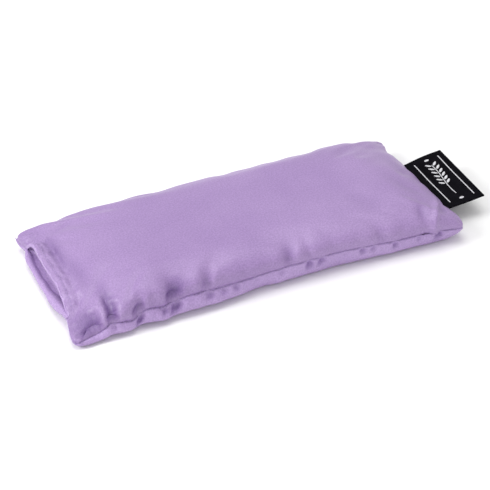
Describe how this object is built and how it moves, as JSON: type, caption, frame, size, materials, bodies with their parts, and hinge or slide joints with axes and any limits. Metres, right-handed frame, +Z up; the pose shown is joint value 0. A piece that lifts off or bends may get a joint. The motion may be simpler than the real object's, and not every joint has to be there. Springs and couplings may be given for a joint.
{
  "type": "eye pillow",
  "caption": "Rectangular satin eye pillow with a tucked slip-off mouth at one end, a woven label at the other and a removable seed-filled insert.",
  "frame": {"origin": "centre of the cover's flat underside, on the surface that it rests on", "axes": "+X along the length towards the label, +Y across towards the back long edge, +Z up through the crown"},
  "size_m": [0.2635, 0.101, 0.025],
  "materials": {
    "satin": "lavender charmeuse satin, soft sheen, fine diagonal twill float",
    "cover_thread": "matching polyester sewing thread, slight gloss",
    "label_damask": "black damask-woven polyester ribbon, dull",
    "label_yarn": "white pattern yarn, woven in",
    "calico": "unbleached cotton calico, matt plain weave",
    "insert_thread": "natural cotton sewing thread",
    "flax_seed": "glossy brown flax seed mixed with dried herb flowers"
  },
  "bodies": {
    "cover": {"cover_bottom_panel": "satin", "front_seam_allowance": "satin", "back_seam_allowance": "satin", "label_end_seam_allowance": "satin", "front_seam_thread": "cover_thread", "back_seam_thread": "cover_thread", "label_end_thread_front": "cover_thread", "label_end_thread_back": "cover_thread", "mouth_corner_thread_front": "cover_thread", "mouth_corner_thread_back": "cover_thread", "label_tail": "label_damask"},
    "cover_top": {"cover_top_panel": "satin", "mouth_upper_hem": "satin", "mouth_hem_stitches": "cover_thread"},
    "flap": {"closure_flap": "satin"},
    "insert": {"insert_top_panel": "calico", "insert_bottom_panel": "calico", "insert_seam_thread": "insert_thread", "insert_closing_stitches": "insert_thread", "seed_fill": "flax_seed"},
    "label": {"woven_label": "label_damask", "label_ornament": "label_yarn"}
  },
  "joints": [
    {"name": "insert_slide", "type": "slide", "parent": "cover", "child": "insert", "axis": [-1, 0, 0], "range_m": [0, 0.25], "deforming": ["cover_bottom_panel", "mouth_corner_thread_front", "mouth_corner_thread_back"]},
    {"name": "cover_settle", "type": "slide", "parent": "cover", "child": "cover_top", "axis": [0, 0, -1], "range_m": [0, 0.01], "deforming": ["cover_top_panel", "mouth_upper_hem", "mouth_hem_stitches"]},
    {"name": "flap_turn", "type": "hinge", "parent": "cover", "child": "flap", "pos_m": [-0.11675, 0.003, 0.0048], "axis": [0, -1, 0], "range_deg": [0, 140], "deforming": ["closure_flap"]},
    {"name": "label_flex", "type": "hinge", "parent": "cover", "child": "label", "pos_m": [0.1196, -0.005, 0.01], "axis": [0, -1, 0], "range_deg": [-26, 120], "stiffness_Nm_per_rad": 0.0025}
  ],
  "couplings": [
    {"joint": "cover_settle", "follows": "insert_slide", "ratio": 0.04}
  ]
}
